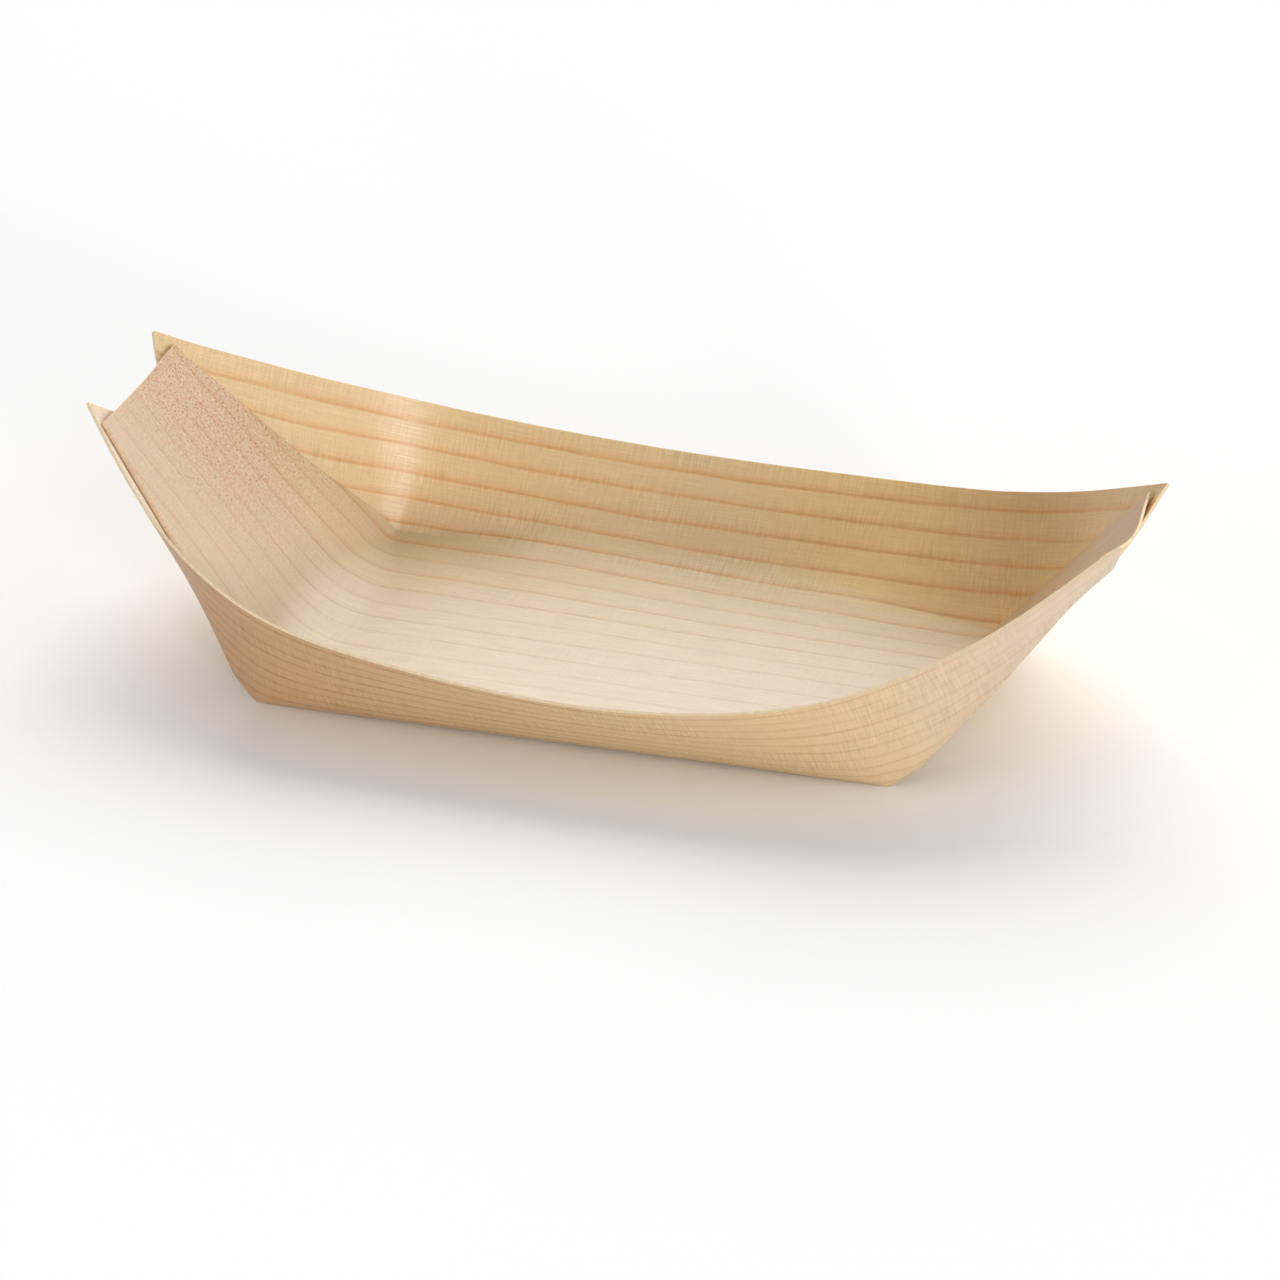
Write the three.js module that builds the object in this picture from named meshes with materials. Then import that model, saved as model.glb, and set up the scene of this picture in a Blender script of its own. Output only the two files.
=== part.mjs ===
// Wooden snack boat: one rectangular sheet of sliced softwood veneer, folded into a tray.
// The base is flat, both ends slope up from it through a soft bend, and the side walls lean out
// and curl in towards the ends. At each corner the spare veneer lies behind the end panel as a
// flat pleat, held shut and held to the panel by two thin films of adhesive.
// Millimetres, +Z up, X along the boat, Y across it, origin under the middle of the base.
import * as THREE from 'three';

// Driving dimensions of the flat sheet
const baseLength = 135; // between the two end creases
const baseWidth = 75; // between the two side creases
const wallWidth = 31; // veneer outside each side crease
const endLength = 61; // veneer outside each end crease
const veneer = 0.6; // thickness of the sheet

// Driving dimensions of the folded boat
const endSlope = 50.5; // degrees that an end panel rises above the base
const endBend = 11; // reach of the soft bend on each side of an end crease, at mid width
const middleEase = 20; // half length of the wall's middle, where its two curls meet smoothly
const pleatEase = 60; // degrees of wall before its fold that swing out round the pleat
const pleatGap = 1.2; // clear space between the two pleats behind one end panel
const crushRadius = 7; // crushed veneer round a base corner, where the pleat closes up

// Driving dimensions of the adhesive
const film = 0.1; // thickness of one film
const filmClearance = 0.05; // space between a film and the veneer on each side of it
const filmInset = 4; // bare border round a film

// Facets
const ringSteps = 5; // along each fold, from the crushed corner to the sheet's edge
const wallSteps = 14; // round each curled wall
const acrossSteps = 10; // across the base and the end panels
const bendSteps = 6; // along each soft bend
const foldSteps = 4; // round each sharp fold, an even number
const pleatSteps = 3; // across each half of a pleat

const sheetMaterial = new THREE.MeshStandardMaterial({ color: 0xe6c896, roughness: 0.62, metalness: 0 });
const filmMaterial = new THREE.MeshStandardMaterial({ color: 0xefe4c4, roughness: 0.35, metalness: 0 });

const halfLength = baseLength / 2;
const halfWidth = baseWidth / 2;
const slope = THREE.MathUtils.degToRad(endSlope);
const layerGap = film + 2 * filmClearance;
const layerPitch = veneer + layerGap; // between the middles of two folded layers
const innerFold = layerPitch / 2; // radius of a folded edge, at the middle of the veneer
const outerFold = innerFold + layerPitch; // radius of the wall's fold, outside that edge

function bisect(rises, low, high) {
  const halvings = 60;
  let [start, end] = [low, high];
  for (let step = 0; step < halvings; step += 1) {
    const middle = (start + end) / 2;
    if (rises(middle) < 0) start = middle;
    else end = middle;
  }
  return (start + end) / 2;
}

// Angles round a base corner on the flat sheet: the wall up to the fold through the sheet's
// own corner, the end panel, and the two halves of the pleat between them.
const wallSweep = Math.PI / 2 + Math.atan2(endLength, wallWidth);
const sweepOutsideBase = 1.5 * Math.PI;
const pleatHalf = (endSweep) => (sweepOutsideBase - wallSweep - endSweep) / 2;
const pleatFoldReach = (endSweep) => endLength / Math.cos(Math.PI - wallSweep - pleatHalf(endSweep));
const pleatFoldAcross = (endSweep) => pleatFoldReach(endSweep) * Math.cos(endSweep - pleatHalf(endSweep));

// An end panel is as wide as lets the two pleats meet behind it, short of its centre line.
const pleatAcross = halfWidth - pleatGap / 2 - innerFold - veneer / 2;
const endSweep = bisect((sweep) => pleatAcross - pleatFoldAcross(sweep), Math.PI / 3, Math.PI / 2);
const pleatSweep = pleatHalf(endSweep);

// Directions at the corner on +X and +Y, from the base corner: up the panel, along its folded
// edge, from that edge towards the middle of the panel, and out of its back.
const inward = new THREE.Vector3(0, -1, 0);
const upPanel = new THREE.Vector3(Math.cos(slope), 0, Math.sin(slope));
const panelBack = new THREE.Vector3(Math.sin(slope), 0, -Math.cos(slope));
const alongPanel = (sweep) => combine([upPanel, Math.sin(sweep)], [inward, Math.cos(sweep)]);
const panelEdge = alongPanel(endSweep);
const fromEdge = alongPanel(endSweep - Math.PI / 2);
const alongPleat = (angle) => combine([panelEdge, Math.cos(angle)], [fromEdge, Math.sin(angle)]);

function combine(...terms) {
  const sum = new THREE.Vector3();
  for (const [vector, amount] of terms) sum.addScaledVector(vector, amount);
  return sum;
}

// A curled wall is part of a round cone with its tip at the base corner. It starts along the
// side crease, ends on the panel's folded edge, and sweeps the same angle as the flat wall.
function curledCone() {
  const start = new THREE.Vector3(-1, 0, 0);
  const halfSpan = start.angleTo(panelEdge) / 2;
  const chord = panelEdge.clone().sub(start).normalize();
  const middle = panelEdge.clone().add(start).normalize();
  const outward = start.clone().cross(panelEdge).normalize();
  const arcSweep = (halfTurn) => (2 * Math.sin(halfSpan) * halfTurn) / Math.sin(halfTurn);
  const halfTurn = bisect((turn) => arcSweep(turn) - wallSweep, halfSpan, Math.PI - halfSpan);
  const sinOpen = Math.sin(halfSpan) / Math.sin(halfTurn);
  const cosOpen = Math.sqrt(1 - sinOpen ** 2);
  const tilt = Math.atan2(-sinOpen * Math.cos(halfTurn), cosOpen);
  const axis = combine([middle, Math.cos(tilt)], [outward, Math.sin(tilt)]);
  const bulge = combine([outward, Math.cos(tilt)], [middle, -Math.sin(tilt)]);
  const radial = (sweep) => {
    const turn = sweep / sinOpen - halfTurn;
    return combine([bulge, Math.cos(turn)], [chord, Math.sin(turn)]);
  };
  return {
    direction: (sweep) => combine([axis, cosOpen], [radial(sweep), sinOpen]),
    outside: (sweep) => combine([radial(sweep), cosOpen], [axis, -sinOpen]),
  };
}

const cone = curledCone();
const wallBack = cone.outside(wallSweep);
const pleatRoom = combine([panelBack, innerFold], [wallBack, outerFold]);
const easeStart = wallSweep - THREE.MathUtils.degToRad(pleatEase);

// A point of the wall, from its place on the flat sheet: along from the boat's middle and
// across from the side crease. Its result is measured from the base corner.
function wallPoint(along, across) {
  const eased = along < middleEase ? (along ** 2 + middleEase ** 2) / (2 * middleEase) : along;
  const back = halfLength - eased;
  const sweep = Math.atan2(across, back);
  const reach = Math.hypot(across, back);
  const room = THREE.MathUtils.smoothstep(sweep, easeStart, wallSweep) * Math.min(1, reach / crushRadius);
  const point = cone.direction(sweep).multiplyScalar(reach);
  const drift = (point.x + back) * Math.min(1, along / middleEase);
  point.x = along - halfLength + drift;
  return point.addScaledVector(pleatRoom, room);
}

// The wall and the pleat as rays from the base corner, in order round it. Each ray has its
// reach to the sheet's edge and a point at any distance along it.
function cornerRays() {
  const rays = [];
  const middleSweep = Math.atan2(wallWidth, halfLength);
  const addWallRay = (sweep) => rays.push({
    reach: sweep < middleSweep ? halfLength / Math.cos(sweep) : wallWidth / Math.sin(sweep),
    point: (distance) => wallPoint(halfLength - distance * Math.cos(sweep), distance * Math.sin(sweep)),
  });
  const middleRays = Math.max(2, Math.round((wallSteps * middleSweep) / wallSweep));
  for (let step = 0; step < middleRays; step += 1) addWallRay((middleSweep * step) / middleRays);
  const outerRays = wallSteps - middleRays;
  for (let step = 0; step <= outerRays; step += 1) {
    addWallRay(THREE.MathUtils.lerp(middleSweep, wallSweep, step / outerRays));
  }

  const addLayerRay = (reach, angle, ...offsets) => rays.push({
    reach,
    point: (distance) => combine([alongPleat(angle), distance], ...offsets),
  });
  const panelFoldReach = endLength / Math.sin(endSweep);
  const outerReach = (angle) => endLength / Math.cos(Math.PI - wallSweep - angle);
  const innerReach = (angle) => endLength / Math.cos(angle + endSweep - Math.PI / 2);

  for (let step = 0; step <= pleatSteps; step += 1) { // outer half of the pleat, from the wall's fold
    const angle = (pleatSweep * step) / pleatSteps;
    addLayerRay(outerReach(angle), angle, [panelBack, 2 * layerPitch]);
  }
  const acrossPleat = alongPleat(pleatSweep + Math.PI / 2);
  for (let step = 1; step <= foldSteps; step += 1) { // fold between the halves
    const turn = (Math.PI * step) / foldSteps;
    const offset = [panelBack, outerFold + innerFold * Math.cos(turn)];
    addLayerRay(outerReach(pleatSweep), pleatSweep, offset, [acrossPleat, innerFold * Math.sin(turn)]);
  }
  for (let step = 1; step <= pleatSteps; step += 1) { // inner half of the pleat
    const angle = pleatSweep * (1 - step / pleatSteps);
    addLayerRay(innerReach(angle), angle, [panelBack, layerPitch]);
  }
  for (let step = 1; step <= foldSteps; step += 1) { // fold at the panel's edge
    const turn = (Math.PI * step) / foldSteps;
    const offset = [panelBack, innerFold * (1 + Math.cos(turn))];
    addLayerRay(panelFoldReach, 0, offset, [fromEdge, -innerFold * Math.sin(turn)]);
  }
  return rays;
}

const ringDistance = (reach, ring) => THREE.MathUtils.lerp(crushRadius, reach, ring / ringSteps);

// One half of the base with its end panel, in columns from the boat's middle to the end's top
// edge. The soft bend reaches furthest at mid width and closes to nothing at the base corners.
function bodyColumns() {
  const columns = [];
  const bendReach = (share) => endBend * (1 - share ** 2);
  const sideReach = endLength / Math.sin(endSweep);
  for (let ring = ringSteps; ring >= 0; ring -= 1) {
    const left = 1 - ringDistance(halfLength, ring) / halfLength;
    columns.push((share) => new THREE.Vector3((halfLength - bendReach(share)) * left, halfWidth * share, 0));
  }
  for (let step = 0; step <= bendSteps; step += 1) {
    const turn = (slope * step) / bendSteps;
    columns.push((share) => {
      const reach = bendReach(share);
      const radius = reach / Math.tan(slope / 2);
      const flat = reach * ((2 * step) / bendSteps - 1);
      const x = halfLength - reach + radius * Math.sin(turn);
      return new THREE.Vector3(x, share * panelHalf(flat), radius * (1 - Math.cos(turn)));
    });
  }
  for (let ring = 0; ring <= ringSteps; ring += 1) {
    const climbed = ringDistance(sideReach, ring) / sideReach;
    columns.push((share) => {
      const flat = THREE.MathUtils.lerp(bendReach(share), endLength, climbed);
      const point = upPanel.clone().multiplyScalar(flat);
      return point.add(new THREE.Vector3(halfLength, share * panelHalf(flat), 0));
    });
  }
  return columns;
}

// A point measured from the base corner on +X and +Y, at that corner or at a mirrored one.
function fromCorner(point, end, side) {
  return new THREE.Vector3(end * (halfLength + point.x), side * (halfWidth + point.y), point.z);
}

function panelHalf(flat) {
  return halfWidth - Math.max(0, flat) / Math.tan(endSweep);
}

// The middle surface of the folded sheet, as triangles that face the inside of the boat. Where
// the pleat closes up at a crushed corner, the two skins of the sheet part: the inner one is
// bridged from the wall to the panel's folded edge and closes off the pleat, and the outer one
// runs on to the corner.
function middleSurface() {
  const samePlace = 1e-5; // points closer than this are one point
  const points = [];
  const known = new Map();
  const faces = { both: [], inner: [], outer: [] };
  const index = (point) => {
    const key = point.toArray().map((value) => Math.round(value / samePlace) + 0).join(' ');
    if (!known.has(key)) {
      known.set(key, points.length);
      points.push(point);
    }
    return known.get(key);
  };
  const addFace = (list, corners, flip) => {
    for (let last = 2; last < corners.length; last += 1) {
      const face = [corners[0], corners[last - 1], corners[last]];
      if (new Set(face).size === 3) list.push(flip ? face.reverse() : face);
    }
  };

  const columns = bodyColumns();
  for (const end of [-1, 1]) {
    const row = (column, step) => {
      const point = columns[column]((2 * step) / acrossSteps - 1);
      return index(new THREE.Vector3(end * point.x, point.y, point.z));
    };
    for (let column = 0; column + 1 < columns.length; column += 1) {
      for (let step = 0; step < acrossSteps; step += 1) {
        const near = [row(column, step), row(column + 1, step)];
        const far = [row(column + 1, step + 1), row(column, step + 1)];
        addFace(faces.both, [...near, ...far], end < 0);
      }
    }
  }

  const rays = cornerRays();
  const bridgeWall = wallSteps + 1 - foldSteps / 2;
  const bridgeEdge = rays.length - 1 - foldSteps / 2;
  for (const end of [-1, 1]) {
    for (const side of [-1, 1]) {
      const flip = end * side < 0;
      const place = (point) => index(fromCorner(point, end, side));
      const tip = place(new THREE.Vector3());
      const grid = rays.map((ray) => {
        const ring = (step) => place(ray.point(ringDistance(ray.reach, step)));
        return Array.from({ length: ringSteps + 1 }, (_, step) => ring(step));
      });
      for (let ray = 0; ray + 1 < grid.length; ray += 1) {
        const bridged = ray >= bridgeWall && ray < bridgeEdge;
        addFace(bridged ? faces.outer : faces.both, [tip, grid[ray + 1][0], grid[ray][0]], flip);
        for (let ring = 0; ring < ringSteps; ring += 1) {
          const near = [grid[ray][ring], grid[ray + 1][ring]];
          const far = [grid[ray + 1][ring + 1], grid[ray][ring + 1]];
          addFace(faces.both, [...near, ...far], flip);
        }
      }
      addFace(faces.inner, [tip, grid[bridgeEdge][0], grid[bridgeWall][0]], flip);
      for (let step = 0; step < (bridgeEdge - bridgeWall) / 2; step += 1) {
        const mouth = [grid[bridgeWall + step][0], grid[bridgeEdge - step][0]];
        const depth = [grid[bridgeEdge - step - 1][0], grid[bridgeWall + step + 1][0]];
        addFace(faces.inner, [...mouth, ...depth], flip);
      }
    }
  }
  return { points, faces };
}

// At each point, the offset that keeps every face round it one unit from its copy.
function unitOffsets(points, faces) {
  const flatBaseWeight = 1e6;
  const slack = 1e-9;
  const emptySum = () => ({
    matrix: new THREE.Matrix3().multiplyScalar(0),
    vector: new THREE.Vector3(),
  });
  const sums = points.map(emptySum);
  for (const face of faces) {
    const [a, b, c] = face.map((corner) => points[corner]);
    const normal = b.clone().sub(a).cross(c.clone().sub(a)).normalize();
    const flatBase = a.z === 0 && b.z === 0 && c.z === 0;
    face.forEach((corner, turn) => {
      const before = points[face[(turn + 2) % 3]].clone().sub(points[corner]);
      const after = points[face[(turn + 1) % 3]].clone().sub(points[corner]);
      const weight = before.angleTo(after) * (flatBase ? flatBaseWeight : 1);
      const parts = normal.toArray();
      const sum = sums[corner];
      parts.forEach((left, column) => parts.forEach((right, row) => {
        sum.matrix.elements[3 * column + row] += weight * left * right;
      }));
      sum.vector.addScaledVector(normal, weight);
    });
  }
  return sums.map(({ matrix, vector }) => {
    const loose = slack * (matrix.elements[0] + matrix.elements[4] + matrix.elements[8]);
    for (const place of [0, 4, 8]) matrix.elements[place] += loose;
    return vector.applyMatrix3(matrix.invert());
  });
}

// The closed solid of the sheet: an inner skin, an outer skin and the cut edge between them.
function foldedSheet() {
  const { points, faces } = middleSurface();
  const offsets = unitOffsets(points, faces.both);
  const lift = new THREE.Vector3(0, 0, veneer / 2);
  const skin = (sign) => points.map((point, place) => (
    point.clone().addScaledVector(offsets[place], (sign * veneer) / 2).add(lift)));
  const corners = [...skin(1), ...skin(-1)];
  const outer = points.length;
  const innerFaces = [...faces.both, ...faces.inner];
  const outerFaces = [...faces.both, ...faces.outer].map(([a, b, c]) => [c + outer, b + outer, a + outer]);

  const edges = new Map();
  for (const face of innerFaces) {
    face.forEach((from, turn) => edges.set(`${from} ${face[(turn + 1) % 3]}`, [from, face[(turn + 1) % 3]]));
  }
  const cutEdge = [];
  for (const [from, to] of edges.values()) {
    if (edges.has(`${to} ${from}`)) continue;
    cutEdge.push([to, from, from + outer], [to, from + outer, to + outer]);
  }
  return solidGeometry(corners, [...innerFaces, ...outerFaces, ...cutEdge]);
}

function solidGeometry(corners, triangles) {
  const geometry = new THREE.BufferGeometry();
  const numbers = corners.flatMap((corner) => corner.toArray());
  geometry.setAttribute('position', new THREE.Float32BufferAttribute(numbers, 3));
  geometry.setIndex(triangles.flat());
  geometry.computeVertexNormals();
  return geometry;
}

// One film of adhesive: the pleat's own triangle drawn in by a bare border, at a depth behind
// the middle of the end panel's veneer.
function glueFilm(depth, end, side) {
  const panelFoldReach = endLength / Math.sin(endSweep);
  const triangle = [
    new THREE.Vector3(),
    panelEdge.clone().multiplyScalar(panelFoldReach),
    alongPleat(pleatSweep).multiplyScalar(pleatFoldReach(endSweep)),
  ];
  const lengths = triangle.map((_, turn) => triangle[(turn + 1) % 3].distanceTo(triangle[(turn + 2) % 3]));
  const around = lengths[0] + lengths[1] + lengths[2];
  const centre = combine(...triangle.map((corner, turn) => [corner, lengths[turn] / around]));
  const area = new THREE.Triangle(...triangle).getArea();
  const kept = 1 - (filmInset * around) / (2 * area);
  const loop = (height) => triangle.map((corner) => {
    const point = centre.clone().lerp(corner, kept).addScaledVector(panelBack, height);
    point.z += veneer / 2;
    return fromCorner(point, end, side);
  });
  const corners = [...loop(depth - film / 2), ...loop(depth + film / 2)];
  const triangles = [[0, 2, 1], [3, 4, 5]];
  for (const [from, to] of [[0, 1], [1, 2], [2, 0]]) {
    triangles.push([from, to, to + 3], [from, to + 3, from + 3]);
  }
  const insideOut = end * side < 0;
  return solidGeometry(corners, triangles.map((corner) => (insideOut ? [...corner].reverse() : corner)));
}

const boat = new THREE.Group();
const addPiece = (name, geometry, material) => {
  const mesh = new THREE.Mesh(geometry, material);
  mesh.name = name;
  boat.add(mesh);
};

addPiece('veneer_sheet', foldedSheet(), sheetMaterial);
for (const [endName, end] of [['left', -1], ['right', 1]]) {
  for (const [sideName, side] of [['front', -1], ['back', 1]]) {
    addPiece(`panel_glue_${endName}_${sideName}`, glueFilm(innerFold, end, side), filmMaterial);
    addPiece(`pleat_glue_${endName}_${sideName}`, glueFilm(outerFold, end, side), filmMaterial);
  }
}

export default boat;
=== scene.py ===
import math

import bpy
from mathutils import Matrix, Vector


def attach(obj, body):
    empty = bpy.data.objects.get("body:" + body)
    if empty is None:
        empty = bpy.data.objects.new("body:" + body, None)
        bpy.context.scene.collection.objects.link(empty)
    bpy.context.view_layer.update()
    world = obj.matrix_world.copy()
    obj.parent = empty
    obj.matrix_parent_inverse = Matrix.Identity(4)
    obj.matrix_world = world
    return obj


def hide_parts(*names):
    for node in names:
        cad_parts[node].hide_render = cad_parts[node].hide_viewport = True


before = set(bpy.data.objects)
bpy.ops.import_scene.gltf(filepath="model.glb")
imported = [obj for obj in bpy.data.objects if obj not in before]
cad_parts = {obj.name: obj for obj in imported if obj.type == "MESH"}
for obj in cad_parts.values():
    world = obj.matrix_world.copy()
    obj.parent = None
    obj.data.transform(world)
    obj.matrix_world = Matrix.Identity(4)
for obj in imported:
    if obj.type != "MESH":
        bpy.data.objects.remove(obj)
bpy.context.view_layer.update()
mm = 0.001  # sizes below are in millimetres, the scene is in metres
halvings = 60  # enough to settle an angle to the last digit
smoothAngle = math.radians(40)  # sharper edges stay sharp
bpy.context.scene.view_settings.view_transform = "Standard"
print("frame loaded:", len(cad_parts), "nodes")


def deselect():
    bpy.ops.object.select_all(action="DESELECT")


def lerp(low, high, share):
    return low + (high - low) * share


def smooth(value, low, high):
    share = min(1, max(0, (value - low) / (high - low)))
    return share * share * (3 - 2 * share)


def bisect(rises, low, high):
    for _ in range(halvings):
        middle = (low + high) / 2
        if rises(middle) < 0:
            low = middle
        else:
            high = middle
    return (low + high) / 2


# The sheet: one rectangle of veneer, folded on the same creases as the solid but with fine facets
sheet = {
    "baseLength": 135,
    "baseWidth": 75,
    "wallWidth": 31,
    "endLength": 61,
    "veneer": 0.6,
    "endSlope": math.radians(50.5),
    "endBend": 11,  # reach of the soft bend at mid width
    "frontCrease": 3,  # reach of the bend along the long creases: crisp in front, soft behind
    "backCrease": 11,
    "creaseFade": (1, 36),  # the soft bend grows between these distances from the base corner
    "middleEase": 20,  # a wall eases through mid length over this distance
    "pleatEase": math.radians(60),  # the wall moves out over the pleat within this angle
    "pleatGap": 1.2,  # between the points of the two pleats at one end
    "crushRadius": 7,  # layers run together this close to a base corner
    "layerPitch": 0.72,  # between the middles of two folded layers
    "wallCloser": 0.1,  # how much tighter the wall lies against the panel's edge
    "weld": 0.004,  # points closer than this become one
    "middleReach": 15,  # faces this close to the middle of the base are flat
    "rings": 34,  # from here on, numbers of facets
    "crushRings": 3,
    "middleRays": 20,
    "middleCrowding": 1.5,  # power that crowds these rays towards the crease
    "outerRays": 48,
    "across": 44,
    "bend": 14,
    "fold": 6,
    "pleat": 8,
}

# How this one boat was set by hand: places that sit a little off the even fold, and how far each push
# spreads along, across and up
handSet = {
    "clearOfFloor": 25,  # a push up or down fades out below this height
    "touches": [
        {"at": (-67.5, -37.5, 0), "shift": (2.6, 0, 0), "spread": (25, 20, 20)},
        {"at": (-67.5, -37.5, 0), "shift": (0, -6.4, 0), "spread": (75, 16, 11)},
        {"at": (-67.5, 37.5, 0), "shift": (-0.6, 6.0, 0), "spread": (50, 16, 11)},
        {"at": (67.5, -37.5, 0), "shift": (0, -0.8, 0), "spread": (20, 16, 11)},
        {"at": (88, -30, 23), "shift": (4.2, 1.2, 0), "spread": (30, 30, 30)},
        {"at": (111, 20, 50), "shift": (-1.9, -1.6, -1.8), "spread": (30, 30, 30)},
        {"at": (-111, 20, 50), "shift": (-1.0, -0.4, -0.2), "spread": (30, 30, 30)},
        {"at": (-108, 21, 42), "shift": (-1.4, -0.5, 0), "spread": (9, 9, 9)},
        {"at": (107, 0, 46), "shift": (2.6, 0, -2.0), "spread": (13, 13, 13)},  # the right end bows out
        {"at": (112, -20, 50), "shift": (-0.6, -0.2, 0.9), "spread": (12, 12, 12)},
        {"at": (65, 54, 26), "shift": (0, 0, -1.5), "spread": (24, 22, 22)},  # rims
        {"at": (95, -38, 38), "shift": (-0.8, 0.8, 1.4), "spread": (25, 25, 25)},
        {"at": (30, -61, 20), "shift": (0, -0.6, -0.5), "spread": (25, 20, 20)},
        {"at": (-32, -61, 21), "shift": (0, 0.8, 0.9), "spread": (24, 20, 20)},
    ],
}

halfLength = sheet["baseLength"] / 2
halfWidth = sheet["baseWidth"] / 2
endLength = sheet["endLength"]
slope = sheet["endSlope"]
pitch = sheet["layerPitch"]
innerFold = pitch / 2
outerFold = innerFold + pitch

# Angles round a base corner of the flat sheet
wallSweep = math.pi / 2 + math.atan2(endLength, sheet["wallWidth"])
pleatAcross = halfWidth - sheet["pleatGap"] / 2 - innerFold - sheet["veneer"] / 2


def pleatHalf(sweep):
    return (1.5 * math.pi - wallSweep - sweep) / 2


def pleatFoldReach(sweep):
    return endLength / math.cos(math.pi - wallSweep - pleatHalf(sweep))


def pleatShort(sweep):
    return pleatAcross - pleatFoldReach(sweep) * math.cos(sweep - pleatHalf(sweep))


endSweep = bisect(pleatShort, math.pi / 3, math.pi / 2)
pleatSweep = pleatHalf(endSweep)
sideReach = endLength / math.sin(endSweep)

# Directions at the right back corner
upPanel = Vector((math.cos(slope), 0, math.sin(slope)))
panelBack = Vector((math.sin(slope), 0, -math.cos(slope)))


def alongPanel(sweep):
    return upPanel * math.sin(sweep) + Vector((0, -1, 0)) * math.cos(sweep)


panelEdge = alongPanel(endSweep)
fromEdge = alongPanel(endSweep - math.pi / 2)


def alongPleat(angle):
    return panelEdge * math.cos(angle) + fromEdge * math.sin(angle)


# The curled wall: a round cone with its tip at the base corner
coneStart = Vector((-1, 0, 0))
halfSpan = coneStart.angle(panelEdge) / 2
coneChord = (panelEdge - coneStart).normalized()
coneMiddle = (panelEdge + coneStart).normalized()
coneOut = coneStart.cross(panelEdge).normalized()
halfTurn = bisect(
    lambda turn: 2 * math.sin(halfSpan) * turn / math.sin(turn) - wallSweep, halfSpan, math.pi - halfSpan
)
sinOpen = math.sin(halfSpan) / math.sin(halfTurn)
cosOpen = math.sqrt(1 - sinOpen**2)
coneTilt = math.atan2(-sinOpen * math.cos(halfTurn), cosOpen)
coneAxis = coneMiddle * math.cos(coneTilt) + coneOut * math.sin(coneTilt)
coneBulge = coneOut * math.cos(coneTilt) - coneMiddle * math.sin(coneTilt)


def coneRadial(sweep):
    turn = sweep / sinOpen - halfTurn
    return coneBulge * math.cos(turn) + coneChord * math.sin(turn)


def coneDirection(sweep):
    return coneAxis * cosOpen + coneRadial(sweep) * sinOpen


wallBack = coneRadial(wallSweep) * cosOpen - coneAxis * sinOpen
pleatRoom = panelBack * innerFold + wallBack * (outerFold - sheet["wallCloser"])
justAboveCrease = 0.001
wallRise = coneDirection(justAboveCrease)
wallLean = wallRise.z / wallRise.y


def creaseLift(x, away, side):
    softest = sheet["backCrease"] if side > 0 else sheet["frontCrease"]
    reach = softest * smooth(halfLength - abs(x), *sheet["creaseFade"])
    if away >= reach:
        return 0
    return wallLean * (reach - away) ** 2 / (4 * reach)


def wallPoint(along, across, side):
    ease = sheet["middleEase"]
    eased = (along**2 + ease**2) / (2 * ease) if along < ease else along
    back = halfLength - eased
    sweep = math.atan2(across, back)
    reach = math.hypot(across, back)
    point = coneDirection(sweep) * reach
    drift = (point.x + back) * min(1, along / ease)
    point.x = along - halfLength + drift
    point.z += creaseLift(along, across, side)
    room = smooth(sweep, wallSweep - sheet["pleatEase"], wallSweep)
    return point + pleatRoom * room * min(1, reach / sheet["crushRadius"])


def ringDistances(reach):
    crush = sheet["crushRadius"]
    crushed = [crush * step / sheet["crushRings"] for step in range(sheet["crushRings"])]
    return crushed + [lerp(crush, reach, step / sheet["rings"]) for step in range(sheet["rings"] + 1)]


# Wall and pleat as rays from the corner: angle on the flat sheet, reach, and a point at a distance
def cornerRays(side):
    rays = []
    middleSweep = math.atan2(sheet["wallWidth"], halfLength)
    middleRays = sheet["middleRays"]
    outerRays = sheet["outerRays"]
    sweeps = [middleSweep * (step / middleRays) ** sheet["middleCrowding"] for step in range(middleRays)]
    sweeps += [lerp(middleSweep, wallSweep, step / outerRays) for step in range(outerRays + 1)]
    for sweep in sweeps:
        toMiddle = sweep < middleSweep
        reach = halfLength / math.cos(sweep) if toMiddle else sheet["wallWidth"] / math.sin(sweep)

        def onWall(distance, sweep=sweep):
            return wallPoint(halfLength - distance * math.cos(sweep), distance * math.sin(sweep), side)

        rays.append((sweep, reach, onWall))

    def addLayer(flat, reach, angle, offset):
        rays.append((flat, reach, lambda distance: alongPleat(angle) * distance + offset))

    for step in range(sheet["pleat"] + 1):  # outer half of the pleat
        angle = pleatSweep * step / sheet["pleat"]
        reach = endLength / math.cos(math.pi - wallSweep - angle)
        addLayer(wallSweep + angle, reach, angle, panelBack * 2 * pitch)
    foldFlat = wallSweep + pleatSweep
    acrossPleat = alongPleat(pleatSweep + math.pi / 2)
    for step in range(1, sheet["fold"] + 1):  # fold between the halves
        turn = math.pi * step / sheet["fold"]
        offset = panelBack * (outerFold + innerFold * math.cos(turn))
        offset += acrossPleat * innerFold * math.sin(turn)
        addLayer(foldFlat, pleatFoldReach(endSweep), pleatSweep, offset)
    for step in range(1, sheet["pleat"] + 1):  # inner half
        angle = pleatSweep * (1 - step / sheet["pleat"])
        reach = endLength / math.cos(angle + endSweep - math.pi / 2)
        addLayer(foldFlat + pleatSweep - angle, reach, angle, panelBack * pitch)
    for step in range(1, sheet["fold"] + 1):  # fold at the panel's edge
        turn = math.pi * step / sheet["fold"]
        offset = panelBack * innerFold * (1 + math.cos(turn)) - fromEdge * innerFold * math.sin(turn)
        addLayer(foldFlat + pleatSweep, sideReach, 0, offset)
    return rays


def panelHalf(flat):
    return halfWidth - max(0, flat) / math.tan(endSweep)


def bendReach(share):
    return sheet["endBend"] * (1 - share**2)


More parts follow.
